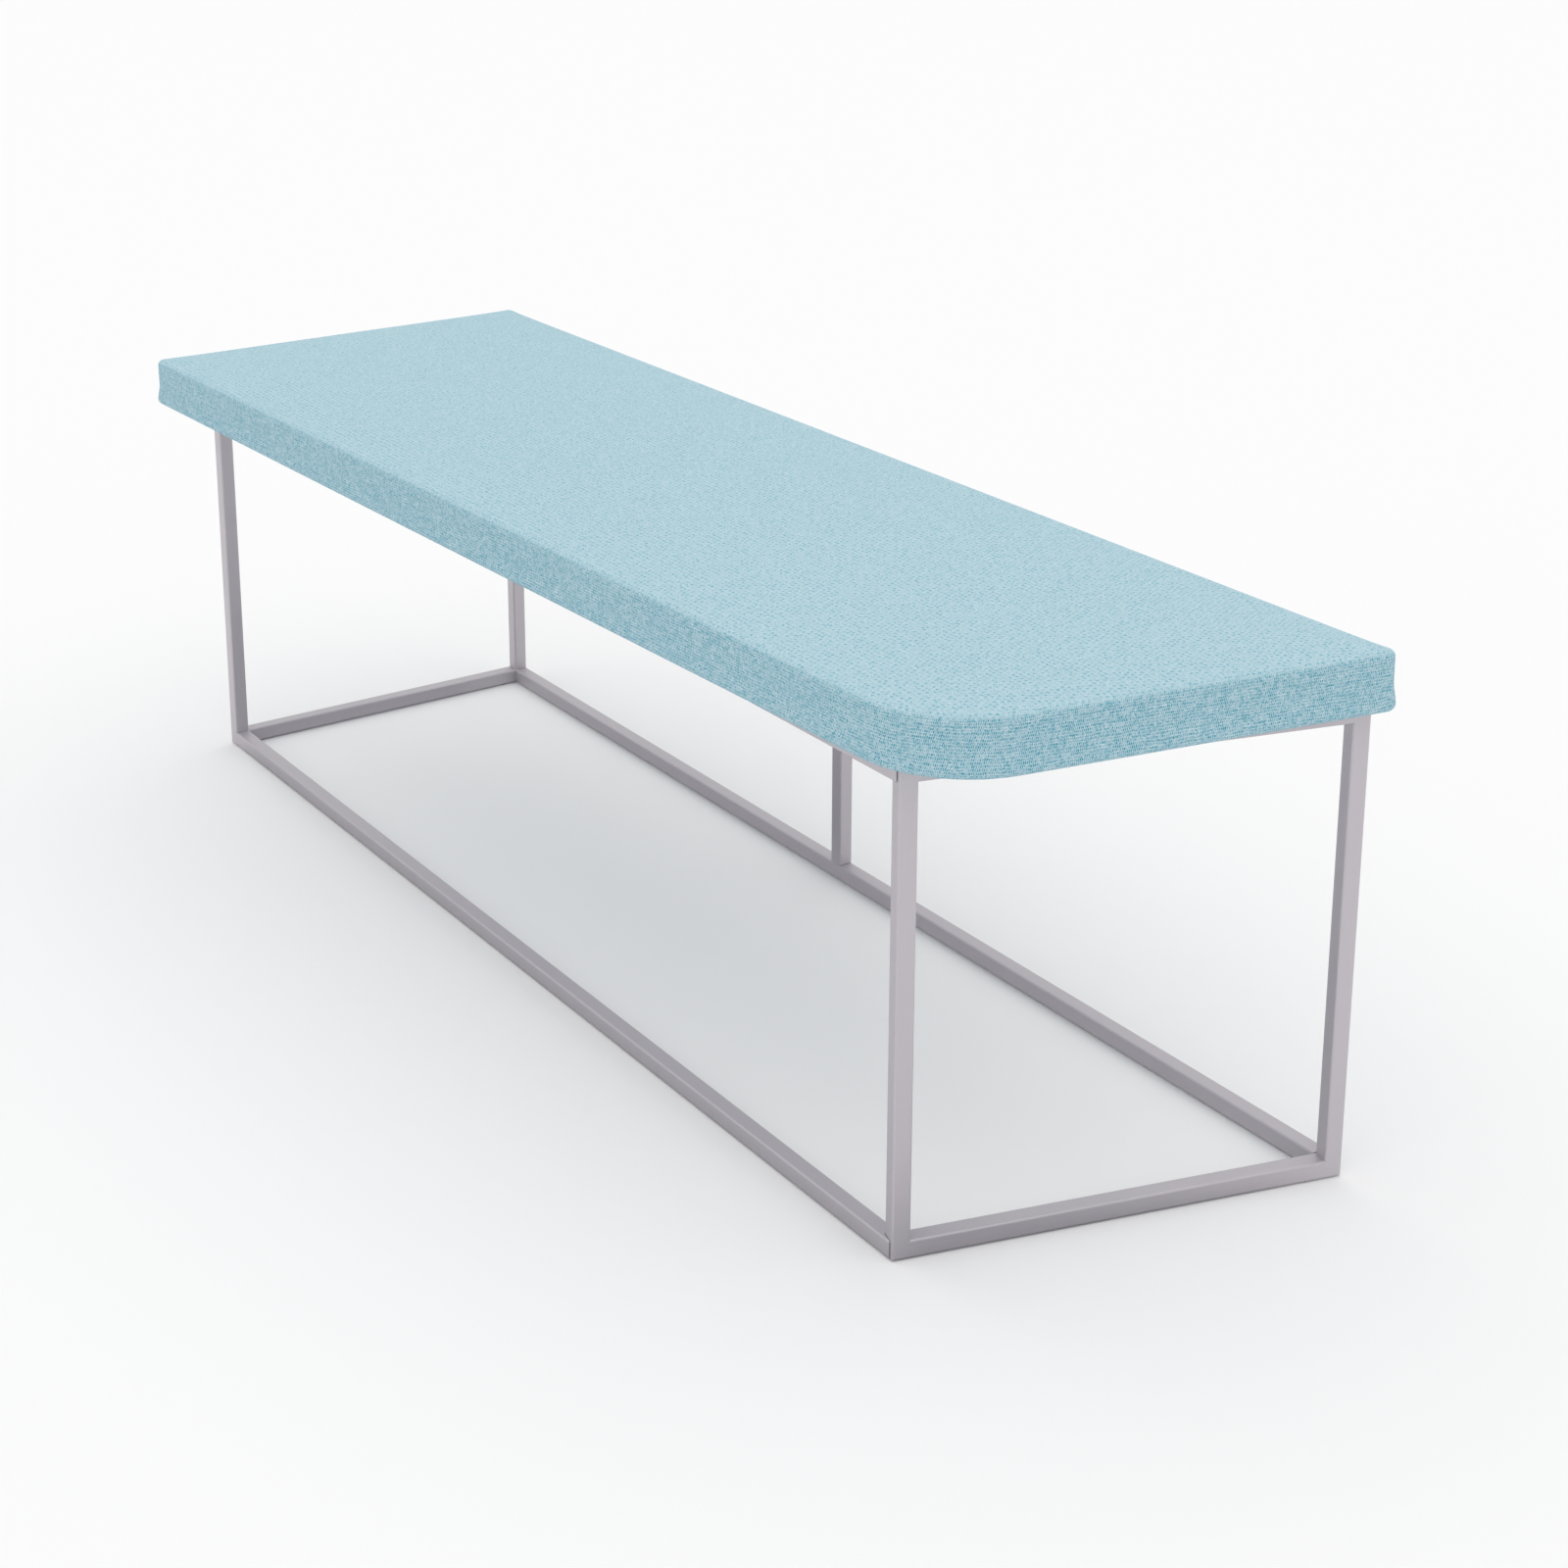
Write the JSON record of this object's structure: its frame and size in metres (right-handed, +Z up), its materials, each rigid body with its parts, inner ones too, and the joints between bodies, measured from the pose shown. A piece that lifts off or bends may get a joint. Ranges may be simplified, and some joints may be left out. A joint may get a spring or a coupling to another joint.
{
  "type": "hotel luggage bench",
  "caption": "Low bench with a firm woven pad on an open box frame of slim square steel tube; the right end is slanted and the pad's front right corner is rounded.",
  "frame": {"origin": "on the floor, under the middle of the pad's plan", "axes": "+X along the bench to the slanted end, +Y to the back, +Z up"},
  "size_m": [1.36, 0.4338, 0.4535],
  "materials": {
    "frame_paint": "satin powder coat",
    "zinc_plate": "zinc plated",
    "glide_nylon": "moulded",
    "woven_cover": "coarse two-tone weave",
    "wadding": "soft",
    "seat_foam": "open cell",
    "plywood": "sanded",
    "lining_cloth": "spun cloth"
  },
  "bodies": {
    "root": {"left_bottom_rail": "frame_paint", "left_back_leg": "frame_paint", "left_top_rail": "frame_paint", "left_front_leg": "frame_paint", "right_bottom_rail": "frame_paint", "right_back_leg": "frame_paint", "right_top_rail": "frame_paint", "right_front_leg": "frame_paint", "front_bottom_rail": "frame_paint", "front_top_rail": "frame_paint", "back_bottom_rail": "frame_paint", "back_top_rail": "frame_paint", "back_middle_leg": "frame_paint", "seat_cross_rail": "frame_paint", "seat_tab_front_1": "frame_paint", "seat_tab_front_2": "frame_paint", "seat_tab_front_3": "frame_paint", "seat_tab_back_1": "frame_paint", "seat_tab_back_2": "frame_paint", "seat_tab_back_3": "frame_paint", "seat_screw_front_1": "zinc_plate", "seat_screw_front_2": "zinc_plate", "seat_screw_front_3": "zinc_plate", "seat_screw_back_1": "zinc_plate", "seat_screw_back_2": "zinc_plate", "seat_screw_back_3": "zinc_plate", "tee_nut_front_1": "zinc_plate", "tee_nut_front_2": "zinc_plate", "tee_nut_front_3": "zinc_plate", "tee_nut_back_1": "zinc_plate", "tee_nut_back_2": "zinc_plate", "tee_nut_back_3": "zinc_plate", "left_front_floor_glide": "glide_nylon", "left_back_floor_glide": "glide_nylon", "right_front_floor_glide": "glide_nylon", "right_back_floor_glide": "glide_nylon", "middle_front_floor_glide": "glide_nylon", "middle_back_floor_glide": "glide_nylon", "fabric_cover": "woven_cover", "wadding_wrap": "wadding", "foam_pad": "seat_foam", "base_board": "plywood", "underside_lining": "lining_cloth"}
  },
  "joints": []
}
